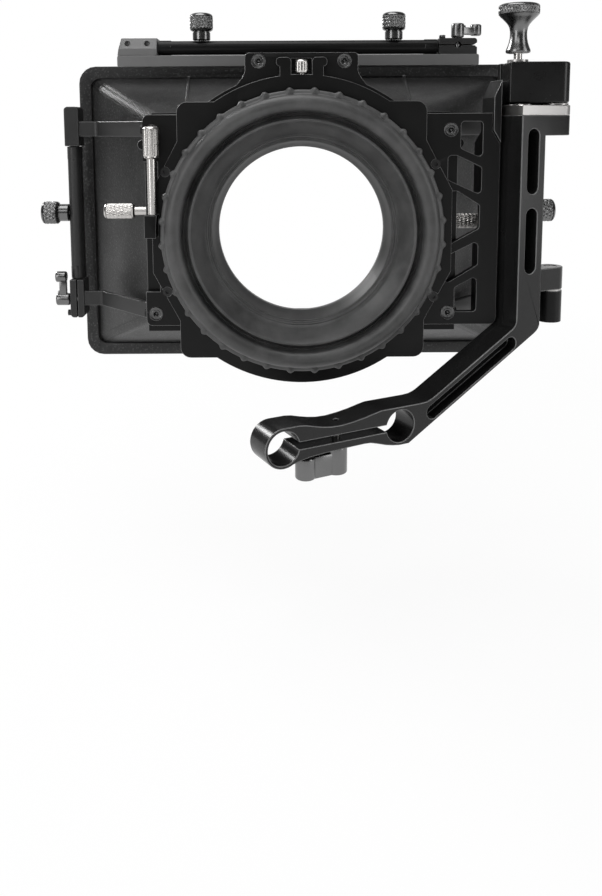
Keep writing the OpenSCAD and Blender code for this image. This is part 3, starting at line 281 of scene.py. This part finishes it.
anodised = material("anodised_black", grey(0.0045), grey(0.009), 0.32, specular=0.2, depth=0.004)
# The edge material below is a grey lighter than its faces' finish: a painted highlight on the bevelled
# chamfers
anodised_edge_highlight = material("anodised_edge_highlight", grey(0.14), grey(0.26), 0.28, specular=0.6, depth=0.002,
                         metallic=0.5)
anodised_glossy = material("anodised_glossy", grey(0.009), grey(0.014), 0.2, specular=0.34, depth=0.004)
# A lighter copy of the black anodising for the brackets, clamp block and side flag bars: a painted sheen
anodised_painted_sheen = material("anodised_painted_sheen", grey(0.018), grey(0.026), 0.36, specular=0.4, depth=0.006)
# The edge material below is a lighter grey for chamfers: a painted edge highlight
dim_edge_highlight = material("dim_edge_highlight", grey(0.04), grey(0.07), 0.35, specular=0.4, depth=0.002)
# Light grey for the top base bar and cheek: a painted sheen, standing in for the reflection they catch
painted_sheen = material("painted_sheen_grey", grey(0.15), grey(0.19), 0.46, metallic=0.4, depth=0.008)
# The hood's finish: real grain bumps, with painted glints speckled on the grain's crests
hood_grain_and_glints = material("hood_grain_and_glints", grey(0.006), grey(0.012), 0.34, patch=90, grain=1050, depth=0.16,
                      specular=0.5, painted_glint=0.055)
# The edge material below is a lighter grey for the hood's chamfers: a painted edge highlight
hood_edge_highlight = material("hood_edge_highlight", grey(0.02), grey(0.04), 0.35, grain=1500, depth=0.04)
moulded = material("moulded_black", grey(0.014), grey(0.02), 0.4, grain=1800, depth=0.03, specular=0.35)
donut_rubber = material("donut_rubber", grey(0.042), grey(0.085), 0.42, amount=0.8, patch=70, spread=0.12,
                        grain=1700, depth=0.02, specular=0.55)
stainless = material("stainless", grey(0.42, 0.02), grey(0.5, 0.02), 0.3, metallic=1.0, depth=0.003)
bright_steel = material("bright_steel", grey(0.52, 0.03), grey(0.6, 0.025), 0.24, metallic=1.0, depth=0.002)
dark_chrome = material("dark_chrome", grey(0.16), grey(0.22), 0.22, metallic=1.0, depth=0.002)
screw_steel = material("screw_steel", grey(0.09), grey(0.16), 0.22, metallic=0.9, depth=0.004)
black_oxide = material("black_oxide", grey(0.02), grey(0.04), 0.33, metallic=0.5, depth=0.004)


# Making pieces
sharp_over = math.radians(34)


def place_piece(name, bm, finishes, nodes, smooth_under=32):
    """Turns a bmesh into a finished piece that stands for the CAD nodes and rides on their body."""
    mesh = bpy.data.meshes.new(name)
    bm.to_mesh(mesh)
    bm.free()
    for face in mesh.polygons:
        face.use_smooth = True
    mesh.set_sharp_from_angle(angle=math.radians(smooth_under))
    for finish in finishes:
        mesh.materials.append(finish)
    piece = bpy.data.objects.new(name, mesh)
    bpy.context.scene.collection.objects.link(piece)
    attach(piece, body_of[nodes[0]])
    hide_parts(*nodes)
    return piece


def soften_edges(piece, width, limit="ANGLE"):
    """Breaks the sharp edges, as a chamfer cutter does, and gives the chamfers the second material, for most
    parts a lighter grey that is a painted edge highlight.
    """
    edges = piece.modifiers.new("broken_edges", "BEVEL")
    edges.width = width * MM
    edges.segments = 2
    edges.limit_method = limit
    edges.angle_limit = sharp_over
    edges.use_clamp_overlap = False
    edges.harden_normals = True
    edges.material = 1


def node_mesh(node):
    """A merged copy of a CAD node's mesh, with its flat faces whole."""
    bm = bmesh.new()
    bm.from_mesh(frame["nodes"][node].data)
    bmesh.ops.remove_doubles(bm, verts=bm.verts, dist=0.002 * MM)
    bmesh.ops.dissolve_limit(bm, angle_limit=math.radians(0.6), verts=bm.verts, edges=bm.edges)
    return bm


def machined(node, finish, edge, width):
    """A milled part: the CAD shape with its edges broken."""
    soften_edges(place_piece(node + "_finished", node_mesh(node), [finish, edge], [node]), width)


def machined_outside(node, finish, edge, width, reach):
    """A milled plate whose edges are broken only outside that distance from the lens axis."""
    bm = node_mesh(node)
    weights = bm.edges.layers.float.new("bevel_weight_edge")
    for line in bm.edges:
        sharp = len(line.link_faces) == 2 and line.calc_face_angle() > sharp_over
        if sharp and min(math.hypot(v.co.x, v.co.z) for v in line.verts) > reach * MM:
            line[weights] = 1.0
    soften_edges(place_piece(node + "_finished", bm, [finish, edge], [node]), width, "WEIGHT")


# Turned and knurled pieces
def rings(radius, start, end, count):
    """Evenly spaced profile points at one radius."""
    return [(radius, start + (end - start) * i / count) for i in range(count + 1)]


def wave(value):
    """A triangle wave from 0 in the grooves to 1 on the ridges."""
    return 1 - abs(2 * (value % 1.0) - 1)


def turned(profile, steps):
    """Spins a profile of radius and height, in millimetres, about Z."""
    bm = bmesh.new()
    points = [bm.verts.new((r * MM, 0, z * MM)) for r, z in profile]
    chain = [bm.edges.new(pair) for pair in zip(points, points[1:])]
    bmesh.ops.spin(bm, geom=points + chain, cent=(0, 0, 0), axis=(0, 0, 1), angle=math.tau, steps=steps,
                   use_merge=True)
    bmesh.ops.remove_doubles(bm, verts=bm.verts, dist=0.001 * MM)
    bmesh.ops.recalc_face_normals(bm, faces=bm.faces)
    return bm


def knurl(bm, radius, low, high, count, pitch, depth, straight=False):
    """Presses a diamond or straight knurl into the band of that radius."""
    for vert in bm.verts:
        reach = math.hypot(vert.co.x, vert.co.y) / MM
        height = vert.co.z / MM
        if abs(reach - radius) > 0.01 or not low <= height <= high:
            continue
        around = math.atan2(vert.co.y, vert.co.x) / math.tau * count
        along = height / pitch
        if straight:
            ridge = wave(around)
        else:
            ridge = min(wave(around + along / 2), wave(around - along / 2)) * 1.6
        fade = min(1.0, (height - low) / 0.5, (high - height) / 0.5)
        pressed = (min(ridge, 1.0) * fade - 1) * depth
        vert.co.x *= (reach + pressed) / reach
        vert.co.y *= (reach + pressed) / reach


def stand(bm, origin, axis):
    """Turns a piece made along Z to its axis and sets it at its place, in metres."""
    turn = Vector((0, 0, 1)).rotation_difference(Vector(axis)).to_matrix().to_4x4()
    bmesh.ops.transform(bm, matrix=Matrix.Translation(origin) @ turn, verts=bm.verts)


def span(node, axis):
    """The CAD node's centre line: its start point and its length in millimetres along the axis."""
    low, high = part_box(node)
    middle = (low + high) / 2
    along = Vector(axis)
    size = high - low
    length = abs(size.dot(along))
    return middle - along * length / 2, length / MM


thumb_head = 10.0
thumb_radius = 6.4


def thumbscrew(node, axis, neck):
    """A flag screw: a plain neck under a head with a coarse diamond knurl."""
    start, length = span(node, axis)
    head = length - thumb_head
    seat = head - neck
    low = head + 1.3
    high = length - 1.6
    profile = [(0, 0), (1.6, 0), (1.6, seat), (4.3, seat), (4.9, seat + 0.5), (4.9, head - 0.6),
               (4.5, head - 0.3), (4.5, head), (5.2, head + 0.15), (thumb_radius - 0.35, head + 0.7)]
    profile += rings(thumb_radius, low, high, 30)
    profile += [(thumb_radius - 0.5, length - 0.8), (thumb_radius - 1.5, length - 0.25), (4.0, length),
                (0, length)]
    bm = turned(profile, 132)
    knurl(bm, thumb_radius, low, high, 20, 1.9, 0.55)
    stand(bm, start, axis)
    place_piece(node + "_knurled", bm, [dark_chrome], [node], 50)


def grip_screw(node, axis, grip, stem, tip, straight=False, count=20):
    """A slim lock screw: a knurled grip and its stem, each a radius and length, and the tip's radius."""
    start, length = span(node, axis)
    grip_r, grip_l = grip
    stem_r, stem_l = stem
    base = length - grip_l
    profile = [(0, 0), (tip, 0), (tip, base - stem_l), (stem_r, base - stem_l), (stem_r, base - 0.3),
               (stem_r + 0.4, base), (grip_r - 0.7, base), (grip_r - 0.15, base + 0.5)]
    profile += rings(grip_r, base + 0.9, length - 1.1, 56)
    profile += [(grip_r - 0.3, length - 0.5), (grip_r - 1.1, length), (grip_r - 1.6, length),
                (grip_r - 1.9, length - 0.4), (0, length - 0.4)]
    bm = turned(profile, 120)
    knurl(bm, grip_r, base + 0.9, length - 1.1, count, 2.0, 0.34, straight)
    stand(bm, start, axis)
    place_piece(node + "_knurled", bm, [bright_steel], [node], 50)


thumbscrew("top_left_screw", (0, 0, 1), 4.9)
thumbscrew("top_right_screw", (0, 0, 1), 4.9)
thumbscrew("left_flag_screw", (-1, 0, 0), 5.6)
thumbscrew("right_flag_screw", (1, 0, 0), 5.6)
lock_grip = (3.8, 15.2)
grip_screw("left_tray_lock", (-1, 0, 0), lock_grip, (2.2, 7.0), 1.5)
grip_screw("right_tray_lock", (1, 0, 0), lock_grip, (2.2, 1.9), 1.5)
grip_screw("ring_lock_rod", (0, 0, 1), lock_grip, (2.2, 26.7), 1.2, True, 14)


def ring_knob():
    """The short bright knob between the ring plate's prongs."""
    start, length = span("ring_lock_knob", (0, 0, 1))
    base = length - 6.6
    profile = [(0, 0), (1.25, 0), (1.25, base), (2.4, base), (3.0, base + 0.4)]
    profile += rings(3.25, base + 0.8, length - 0.8, 16)
    profile += [(2.9, length - 0.3), (2.4, length), (0, length)]
    bm = turned(profile, 96)
    knurl(bm, 3.25, base + 0.8, length - 0.8, 20, 1.7, 0.2, True)
    stand(bm, start, (0, 0, 1))
    place_piece("ring_lock_knob_knurled", bm, [bright_steel], ["ring_lock_knob"], 50)


ring_knob()


def lock_knob():
    """The waisted lock knob, with a knurled rim and a shallow dished top."""
    low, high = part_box("lock_knob")
    middle = (low + high) / 2
    height = (high.z - low.z) / MM
    rim = (high.x - low.x) / MM / 2
    band = height - 5.0
    profile = [(2.05, 0), (5.0, 0), (5.75, 0.25), (5.95, 0.9), (5.8, 1.7), (5.2, 3.2), (4.6, 5.0), (4.2, 7.0),
               (4.05, 9.0), (4.1, 10.5), (4.45, 12.4), (5.2, 13.8), (6.4, 15.2), (7.8, 16.6),
               (8.9, band - 1.0), (rim - 0.5, band - 0.4)]
    profile += rings(rim, band, height - 1.2, 16)
    profile += [(rim - 0.4, height - 0.6), (rim - 1.4, height - 0.1), (rim - 2.4, height),
                (rim - 3.2, height - 0.5), (0, height - 0.6)]
    bm = turned(profile, 216)
    knurl(bm, rim, band, height - 1.2, 36, 2.0, 0.4)
    stand(bm, (middle.x, middle.y, low.z), (0, 0, 1))
    place_piece("lock_knob_knurled", bm, [dark_chrome], ["lock_knob"], 40)


lock_knob()


# Clamp levers
def rounded_post(bm, centre, radius, low, high, round_off=0.7, steps=48):
    """An upright round post with broken rims."""
    made = bmesh.ops.create_cone(bm, cap_ends=True, segments=steps, radius1=radius * MM, radius2=radius * MM,
                                 depth=(high - low) * MM)
    bmesh.ops.translate(bm, verts=made["verts"], vec=Vector((centre[0], centre[1], (low + high) / 2)) * MM)
    rims = [e for v in made["verts"] for e in v.link_edges if len(e.link_faces) == 2
            and {len(f.verts) for f in e.link_faces} == {4, steps}]
    bmesh.ops.bevel(bm, geom=list(set(rims)), offset=round_off * MM, segments=3, affect="EDGES", profile=0.5,
                    material=-1)


def bar_between(bm, low, high, round_off=0.4):
    """A block between two corners with broken edges."""
    made = bmesh.ops.create_cube(bm, size=1.0)
    size = (Vector(high) - Vector(low)) * MM
    bmesh.ops.scale(bm, verts=made["verts"], vec=size)
    bmesh.ops.translate(bm, verts=made["verts"], vec=(Vector(high) + Vector(low)) / 2 * MM)
    edges = list({e for v in made["verts"] for e in v.link_edges})
    bmesh.ops.bevel(bm, geom=edges, offset=round_off * MM, segments=2, affect="EDGES", profile=0.5,
                    material=-1)


def clamp_lever(node, hub_point, axis, heading):
    """A bone-shaped lever: a hub and a lobe joined by a web. Heading is the lobe's direction."""
    low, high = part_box(node)
    inner = low if sum(axis) > 0 else high
    stud = abs((hub_point - inner).dot(Vector(axis))) / MM
    bm = bmesh.new()
    rounded_post(bm, (0, 0), 3.5, 0, 7.7, 0.9)
    rounded_post(bm, (13.0, 0), 3.1, 1.6, 7.8, 1.0)
    rounded_post(bm, (0, 0), 1.38, -stud, 0.4, 0.2, 32)
    bar_between(bm, (1.5, -1.8, 1.9), (12.0, 1.8, 5.8))
    bar_between(bm, (1.5, -1.2, 5.0), (4.9, 1.2, 6.9))
    along = Vector(heading).normalized()
    up = Vector(axis)
    turn = Matrix((along, up.cross(along), up)).transposed().to_4x4()
    bmesh.ops.transform(bm, matrix=Matrix.Translation(hub_point) @ turn, verts=bm.verts)
    place_piece(node + "_shaped", bm, [dark_chrome], [node])


lever_turn = math.radians(29)
stud_y = 55.4
side_seat = (130.3, stud_y, -46.7)
clamp_lever("top_clamp_lever", Vector((87.9, stud_y, 98.6)) * MM, (0, 0, 1),
            (math.cos(lever_turn), math.sin(lever_turn), 0))
clamp_lever("left_clamp_lever", Vector((-side_seat[0], *side_seat[1:])) * MM, (-1, 0, 0), (0, 0, 1))
clamp_lever("right_clamp_lever", Vector(side_seat) * MM, (1, 0, 0), (0, 0, 1))


def rod_lever():
    """The stout lever under the rod clamp: two round ends with a broad web, flush underneath."""
    low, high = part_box("rod_clamp_lever")
    height = (high.z - low.z) / MM
    bm = bmesh.new()
    rounded_post(bm, (0, 0), 5.2, 0, height, 0.8)
    rounded_post(bm, (-15.5, 0), 4.6, 0, 10.2, 0.9)
    bar_between(bm, (-15.0, -3.5, 0), (-1.0, 3.5, 10.2), 0.8)
    centre = hinge + Vector((-math.cos(swing), -math.sin(swing), 0)) * hinge_x * MM
    place = Matrix.Translation((centre.x, centre.y, low.z)) @ Matrix.Rotation(swing, 4, "Z")
    bmesh.ops.transform(bm, matrix=place, verts=bm.verts)
    place_piece("rod_clamp_lever_shaped", bm, [dark_chrome], ["rod_clamp_lever"])


rod_lever()


# Rubber donut
def donut():
    """The rubber donut: a thin rim with small round nubs, a fat rounded ring, a trough and a sharp lip."""
    low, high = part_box("rubber_donut")
    outer = (high.x - low.x) / MM / 2
    front = high.y / MM
    nub_height = 1.3
    nub_half = 2.1
    rim = outer - nub_height
    valley = 66.0
    profile = [(lens_bore, -2.4), (lens_bore, 0.6), (lens_bore + 0.5, 1.0), (lens_bore + 4, 1.0),
               (lens_bore + 4, front), (50.7, front), (50.7, -13.0), (60, -13.0), (60, -15), (57, -15),
               (57, -17.3), (rim - 0.5, -17.3), (rim - 0.1, -17.6), (rim, -18.1), (rim, -18.7),
               (rim - 0.3, -19.3), (rim - 0.9, -19.6), (66.5, -19.8), (valley, -20.1)]
    ring_centre = (61.85, -20.2)
    ring_radius = 4.1
    for step in range(0, 17):
        angle = math.radians(8 + step * 10.3)
        profile.append((ring_centre[0] + ring_radius * math.cos(angle),
                        ring_centre[1] - ring_radius * math.sin(angle)))
    profile += [(57.6, -19.2), (57.2, -18.7), (56.8, -18.9), (56.5, -19.3), (56.2, -19.0), (55.9, -18.2),
                (55.4, -17.9), (54.95, -18.3), (54.75, -19.6), (54.65, -21.9), (54.45, -22.6),
                (54.0, -22.95), (53.4, -22.8), (52.9, -22.2), (50.6, -18.3), (48.2, -14.2), (47.0, -12.2),
                (46.6, -11.9), (46.3, -12.1), (45.9, -12.0), (45.6, -11.4), (45.3, -10.6), (44.9, -10.4),
                (44.6, -10.6), (44.2, -10.4), (43.9, -9.6), (43.2, -7.4), (42.2, -4.9),
                (lens_bore + 0.2, -3.0), (lens_bore, -2.4)]
    bm = turned([(r, -y) for r, y in profile], 648)
    count = 36
    for vert in bm.verts:
        reach = math.hypot(vert.co.x, vert.co.y) / MM
        depth = vert.co.z / MM
        if reach < valley - 0.05 or depth < 17.2:
            continue
        around = (math.atan2(vert.co.y, vert.co.x) / math.tau * count) % 1.0 - 0.5
        offset = around * math.tau * reach / count
        crest = max(0.0, 1 - (offset / nub_half) ** 2) ** 1.5
        push = nub_height * crest * min(1.0, (reach - valley) / (rim - valley))
        vert.co.x *= (reach + push) / reach
        vert.co.y *= (reach + push) / reach
        if depth > 18.8:
            vert.co.z += 0.6 * crest * MM * min(1.0, (reach - valley + 0.2) / 0.8)
    bmesh.ops.rotate(bm, verts=bm.verts, cent=(0, 0, 0), matrix=Matrix.Rotation(math.radians(90), 3, "X"))
    place_piece("rubber_donut_moulded", bm, [donut_rubber], ["rubber_donut"], 60)


donut()


# Screws with their heads in view
def screw_rim(bm, middle, direction, radius):
    """A closed ring that gives a flat head its turned steps. The head faces along Y."""
    steps = [(1.35, -0.25), (1.4, 0.02), (1.75, 0.1), (2.15, 0.02), (2.35, -0.1), (2.6, 0.04),
             (radius - 0.25, 0.1), (radius - 0.02, -0.02), (radius - 0.05, -0.25)]
    seat = Vector(middle) * MM
    outward = Vector(direction)
    points = [bm.verts.new(seat + (Vector((r, 0, 0)) + outward * z) * MM) for r, z in steps]
    chain = [bm.edges.new(pair) for pair in zip(points, points[1:] + points[:1])]
    bmesh.ops.spin(bm, geom=points + chain, cent=seat, axis=outward, angle=math.tau, steps=48, use_merge=True)


def flat_screws(node, places, direction):
    """A node's flat-head screws, with turned steps on their heads."""
    bm = bmesh.new()
    for middle in places:
        screw_rim(bm, middle, direction, 3.4)
    bmesh.ops.recalc_face_normals(bm, faces=bm.faces)
    bm.from_mesh(frame["nodes"][node].data)
    bmesh.ops.remove_doubles(bm, verts=bm.verts, dist=0.001 * MM)
    place_piece(node + "_stepped", bm, [screw_steel], [node], 40)


plate_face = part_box("mounting_plate")[0].y / MM
flat_screws("plate_screws", [(x, plate_face, z) for x in (-72.3, 72.3) for z in (48.8, -41.2)], (0, -1, 0))
flat_screws("top_fixing_screws", [(x, plate_face, 81.9) for x in (-20.6, 20.6)], (0, -1, 0))
post_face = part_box("hinge_post")[1].y / MM
flat_screws("post_screws", [(92.8, post_face, z) for z in (-38, -14, 20, 36)], (0, 1, 0))
flat_screws("block_screws", [(x, post_face, 71.3) for x in (104.4, 117.3)], (0, 1, 0))

# Milled parts, each with its finish, the material of its broken edges (mostly a lighter grey, a painted edge
# highlight) and their width
milled = {
    "swing_arm": (anodised_glossy, anodised_edge_highlight, 0.4),
    "mounting_plate": (anodised, anodised_edge_highlight, 0.22),
    "donut_seat_ring": (anodised, dim_edge_highlight, 0.2),
    "rear_stage": (anodised, anodised_edge_highlight, 0.25),
    "front_stage": (anodised, anodised_edge_highlight, 0.25),
    "rear_tray": (anodised, dim_edge_highlight, 0.25),
    "front_tray": (anodised, dim_edge_highlight, 0.25),
    "hinge_post": (anodised, anodised_edge_highlight, 0.25),
    "hinge_block": (anodised_glossy, anodised_glossy, 1.1),
    "top_bridge": (anodised, anodised_edge_highlight, 0.25),
    "top_base_bar": (painted_sheen, painted_sheen, 0.35),
    "top_cheek": (painted_sheen, painted_sheen, 0.35),
    "top_clamp_block": (anodised_painted_sheen, dim_edge_highlight, 0.14),
    "top_flag_bar": (anodised, dim_edge_highlight, 0.25),
    "left_upper_bracket": (anodised_painted_sheen, dim_edge_highlight, 0.5),
    "left_lower_bracket": (anodised_painted_sheen, dim_edge_highlight, 0.5),
    "left_flag_bar": (anodised_painted_sheen, dim_edge_highlight, 0.25),
    "right_upper_bracket": (anodised_painted_sheen, dim_edge_highlight, 0.5),
    "right_lower_bracket": (anodised_painted_sheen, dim_edge_highlight, 0.5),
    "right_flag_bar": (anodised_painted_sheen, dim_edge_highlight, 0.25),
    # bright_steel on the detent plate's chamfers is a painted edge highlight
    "detent_plate": (stainless, bright_steel, 0.3),
    "hood": (hood_grain_and_glints, hood_edge_highlight, 0.5),
    "rear_tray_handle": (moulded, moulded, 0.6),
    "front_tray_handle": (moulded, moulded, 0.6),
}
for node, (finish, edge, width) in milled.items():
    machined(node, finish, edge, width)
machined_outside("ring_plate", anodised, anodised_edge_highlight, 0.18, 62)

# CAD parts that keep their own meshes
kept = {
    "rod_clamp_screw": stainless, "upper_hinge_pin": stainless, "lower_hinge_pin": stainless,
    "hinge_washers": stainless, "lock_pin": bright_steel, "lock_spring": bright_steel, "lock_bush": stainless,
}
for node, thing in frame["nodes"].items():
    if thing.hide_render:
        continue
    thing.data.materials.clear()
    thing.data.materials.append(kept.get(node, black_oxide))


# Floor
def floor():
    """A white floor that keeps the object's shadow near it and fades into the background further out."""
    bm = bmesh.new()
    bmesh.ops.create_grid(bm, x_segments=1, y_segments=1, size=6.0)
    bmesh.ops.translate(bm, verts=bm.verts, vec=(0, 0, -0.19))
    mesh = bpy.data.meshes.new("floor")
    bm.to_mesh(mesh)
    bm.free()
    pale = bpy.data.materials.new("floor_white")
    pale.use_nodes = True
    tree = pale.node_tree
    matt = tree.nodes["Principled BSDF"]
    matt.inputs["Base Color"].default_value = grey(0.85)
    matt.inputs["Roughness"].default_value = 0.9
    matt.inputs["Specular IOR Level"].default_value = 0.1
    glow = tree.nodes.new("ShaderNodeEmission")
    place = tree.nodes.new("ShaderNodeTexCoord")
    reach = tree.nodes.new("ShaderNodeVectorMath")
    reach.operation = "LENGTH"
    tree.links.new(place.outputs["Object"], reach.inputs[0])
    fade = tree.nodes.new("ShaderNodeMapRange")
    fade.inputs["From Min"].default_value = 0.2
    fade.inputs["From Max"].default_value = 0.8
    fade.inputs["To Min"].default_value = 0.93
    fade.inputs["To Max"].default_value = 1.0
    tree.links.new(reach.outputs["Value"], fade.inputs["Value"])
    share = tree.nodes.new("ShaderNodeMath")
    share.operation = "MULTIPLY"
    mix = tree.nodes.new("ShaderNodeMixShader")
    tree.links.new(background_rays(tree), share.inputs[0])
    tree.links.new(fade.outputs["Result"], share.inputs[1])
    tree.links.new(share.outputs[0], mix.inputs[0])
    tree.links.new(matt.outputs[0], mix.inputs[1])
    tree.links.new(glow.outputs[0], mix.inputs[2])
    tree.links.new(mix.outputs[0], tree.nodes["Material Output"].inputs["Surface"])
    mesh.materials.append(pale)
    plane = bpy.data.objects.new("floor", mesh)
    bpy.context.scene.collection.objects.link(plane)


floor()
